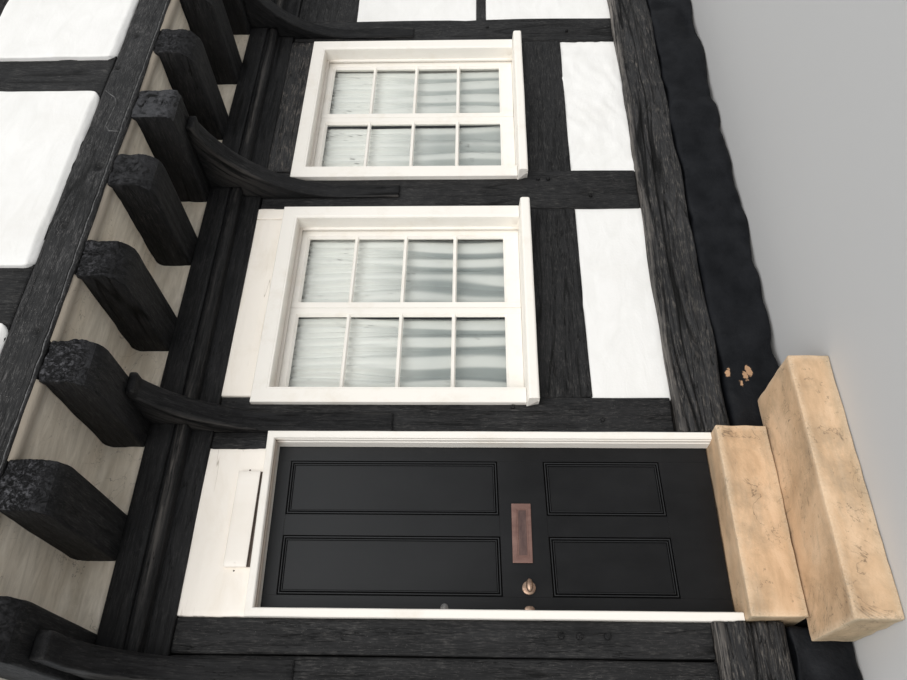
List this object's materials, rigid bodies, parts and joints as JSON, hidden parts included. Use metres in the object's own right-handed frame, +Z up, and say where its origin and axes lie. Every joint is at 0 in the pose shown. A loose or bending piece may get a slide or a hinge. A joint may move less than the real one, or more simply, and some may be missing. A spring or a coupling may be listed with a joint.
{
  "type": "half timbered house",
  "caption": "Two storey half timbered house for a row: black oak frame, white plaster panels, jettied upper floor on curved brackets, panelled door and pitched tiled roof.",
  "frame": {"origin": "on the ground, in the middle of the house's plan box without the doorstep", "axes": "+Z up; +X to the right seen from the street; the street front faces -Y"},
  "size_m": [5.88, 6.115, 8.4581],
  "materials": {
    "black_oak": "old black paint on weathered oak, grain and checks showing",
    "lime_plaster": "hand laid lime plaster, limewashed white",
    "soffit_plaster": "dirty grey beige plaster with streaks",
    "cream_paint": "cream white brushed oil paint on softwood",
    "plate_paint": "off white painted board, bare of lettering",
    "door_paint": "satin charcoal paint",
    "aged_bronze": "worn bronze with a pink brown tone",
    "hinge_iron": "painted iron",
    "rod_brass": "dull brass",
    "window_glass": "clear drawn glass, slightly uneven",
    "net_fabric": "white net in vertical gathers",
    "floor_boards": "plain old boards",
    "black_footing": "uneven masonry painted black, ochre chips showing",
    "step_stone": "worn beige sandstone",
    "party_render": "plain lime render",
    "clay_tile": "weathered plain clay tiles"
  },
  "bodies": {
    "house": {"footing": "black_footing", "doorstep": "step_stone", "threshold_stone": "step_stone", "ground_floor": "floor_boards", "upper_floor": "floor_boards", "sill_beams": "black_oak", "ground_posts": "black_oak", "ground_rails": "black_oak", "rear_girding_beam": "black_oak", "ground_panels": "lime_plaster", "moulded_wall_plate": "black_oak", "jetty_joists": "black_oak", "joist_infill": "soffit_plaster", "jetty_soffit": "soffit_plaster", "jetty_beam": "black_oak", "jetty_brackets": "black_oak", "white_head_boards": "cream_paint", "dark_head_board": "black_oak", "name_plate": "plate_paint", "door_frame": "cream_paint", "door_hinges": "hinge_iron", "window_frames": "cream_paint", "window_sashes": "cream_paint", "window_glass": "window_glass", "upper_window_frames": "cream_paint", "upper_window_sashes": "cream_paint", "upper_window_glass": "window_glass", "window_sills": "cream_paint", "curtain_rods": "rod_brass", "left_net_curtains": "net_fabric", "right_net_curtains": "net_fabric", "upper_posts": "black_oak", "upper_rails": "black_oak", "upper_panels": "lime_plaster", "eaves_plates": "black_oak", "left_party_wall": "party_render", "right_party_wall": "party_render", "front_roof_slope": "clay_tile", "rear_roof_slope": "clay_tile", "ridge_tiles": "clay_tile"},
    "door": {"front_door": "door_paint", "letter_plate": "aged_bronze", "knob_roses": "aged_bronze", "door_knob": "aged_bronze", "lock_cylinder": "aged_bronze"}
  },
  "joints": [
    {"name": "door_hinge", "type": "hinge", "parent": "house", "child": "door", "pos_m": [-1.7695, -1.9615, 1.4445], "axis": [0, 0, -1], "range_deg": [0, 90]}
  ]
}
